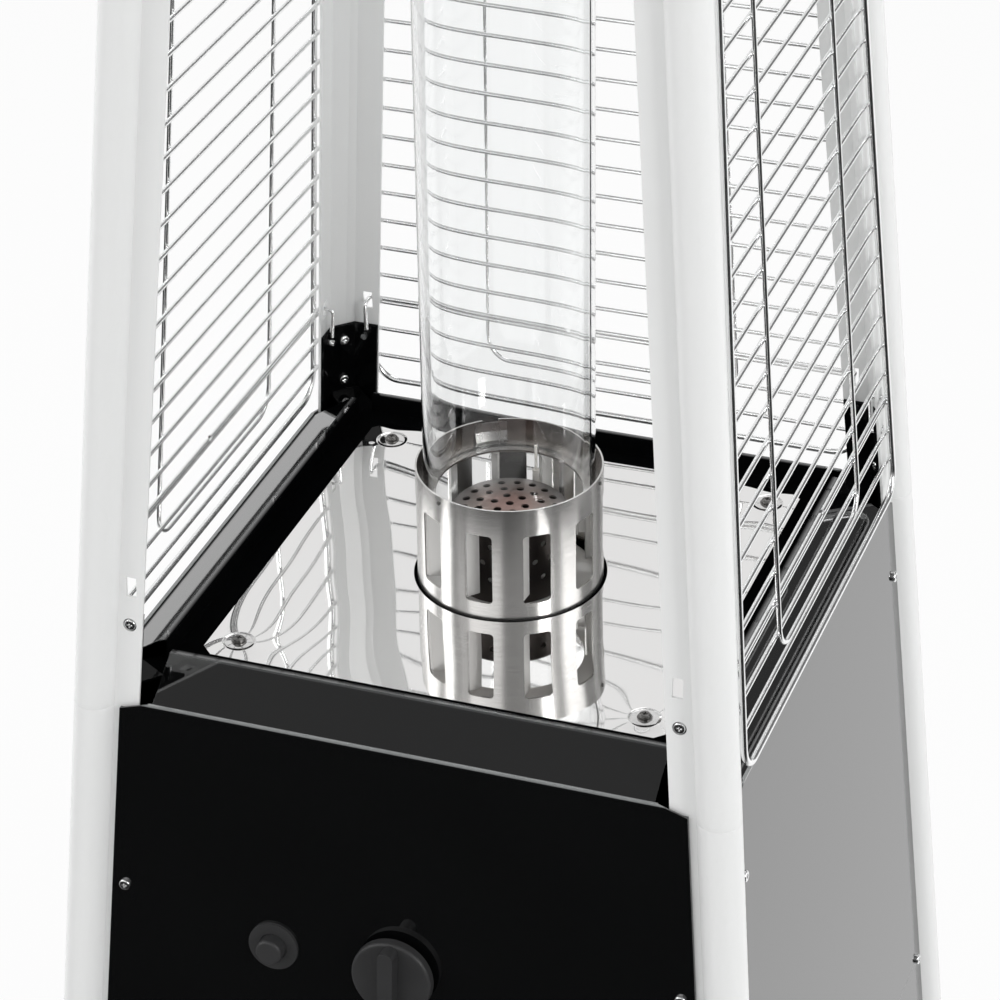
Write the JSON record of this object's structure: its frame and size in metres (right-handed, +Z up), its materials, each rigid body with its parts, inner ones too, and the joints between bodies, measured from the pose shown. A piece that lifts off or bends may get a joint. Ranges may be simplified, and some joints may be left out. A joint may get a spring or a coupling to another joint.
{
  "type": "outdoor heater",
  "caption": "Pyramid gas patio heater: leaning corner posts, wire guards, quartz flame tube on a mirror deck, and a cabinet below with a door, knob and igniter.",
  "frame": {"origin": "on the floor, under the axis of the quartz tube, midway between the four posts", "axes": "+X to the right along the door side, -Y out of the door side, +Z up along the tube"},
  "size_m": [0.519, 0.5268, 2.264],
  "materials": {
    "white_paint": "smooth satin white powder coat",
    "black_paint": "fine satin black powder coat",
    "mirror_steel": "polished stainless sheet",
    "brushed_steel": "brushed stainless steel",
    "bright_zinc": "bright plated steel",
    "quartz": "clear quartz glass",
    "heated_steel": "heat tinted stainless steel",
    "black_plastic": "fine matt black plastic",
    "tyre_rubber": "matt black rubber",
    "brass": "machined brass",
    "cast_aluminium": "die cast aluminium",
    "ceramic": "glazed white ceramic"
  },
  "bodies": {
    "heater": {"base_pan": "black_paint", "feet": "black_plastic", "wheel_fork_left": "black_paint", "wheel_fork_right": "black_paint", "wheel_bolts": "bright_zinc", "left_panel": "black_paint", "right_panel": "black_paint", "back_panel": "black_paint", "control_panel": "black_paint", "door_magnet": "black_plastic", "deck_tray": "black_paint", "reflector_plate": "mirror_steel", "burner_collar": "brushed_steel", "glass_tube": "quartz", "tube_clips": "bright_zinc", "burner_cap": "heated_steel", "burner_body": "brushed_steel", "carrier_screws": "bright_zinc", "pilot_burner": "brass", "igniter_electrode": "ceramic", "thermocouple": "heated_steel", "gas_pipe": "cast_aluminium", "pilot_pipe": "cast_aluminium", "valve_body": "cast_aluminium", "inlet_fitting": "brass", "igniter_body": "black_plastic", "tilt_switch": "black_plastic", "top_plate": "black_paint", "tube_ring": "brushed_steel", "heat_baffle": "brushed_steel", "top_cap": "white_paint", "grille_left": "bright_zinc", "grille_back": "bright_zinc", "grille_right": "bright_zinc", "frame_screws": "bright_zinc", "plate_screws": "bright_zinc", "lower_post_front_left": "white_paint", "upper_post_front_left": "white_paint", "corner_bracket_front_left": "black_paint", "lower_post_front_right": "white_paint", "upper_post_front_right": "white_paint", "corner_bracket_front_right": "black_paint", "lower_post_back_right": "white_paint", "upper_post_back_right": "white_paint", "corner_bracket_back_right": "black_paint", "lower_post_back_left": "white_paint", "upper_post_back_left": "white_paint", "corner_bracket_back_left": "black_paint"},
    "wheel_left": {"wheel_tyre_left": "tyre_rubber", "wheel_hub_left": "black_plastic"},
    "wheel_right": {"wheel_tyre_right": "tyre_rubber", "wheel_hub_right": "black_plastic"},
    "door": {"door": "black_paint", "door_pull": "black_plastic", "door_pins": "bright_zinc"},
    "valve_rotor": {"valve_plug": "brass"},
    "knob": {"valve_stem": "bright_zinc", "control_knob": "black_plastic"},
    "igniter_button": {"igniter_button": "black_plastic"}
  },
  "joints": [
    {"name": "wheel_left_spin", "type": "hinge", "parent": "heater", "child": "wheel_left", "pos_m": [-0.165, 0.22934, 0.042], "axis": [1, 0, 0], "continuous": true},
    {"name": "wheel_right_spin", "type": "hinge", "parent": "heater", "child": "wheel_right", "pos_m": [0.165, 0.22934, 0.042], "axis": [1, 0, 0], "continuous": true},
    {"name": "door_swing", "type": "hinge", "parent": "heater", "child": "door", "pos_m": [-0.20245, -0.23465, 0.086], "axis": [-0.0746, -0.0746, -0.9944], "range_deg": [0, 110]},
    {"name": "valve_turn", "type": "hinge", "parent": "heater", "child": "valve_rotor", "pos_m": [0, -0.19725, 0.67], "axis": [0, -0.9972, 0.0748], "range_deg": [0, 180]},
    {"name": "knob_press", "type": "slide", "parent": "valve_rotor", "child": "knob", "axis": [0, 0.9972, -0.0748], "range_m": [0, 0.0035], "stiffness_N_per_m": 600, "springref_m": -0.004},
    {"name": "igniter_press", "type": "slide", "parent": "heater", "child": "igniter_button", "axis": [0, 0.9972, -0.0748], "range_m": [0, 0.005], "stiffness_N_per_m": 500, "springref_m": -0.003}
  ]
}
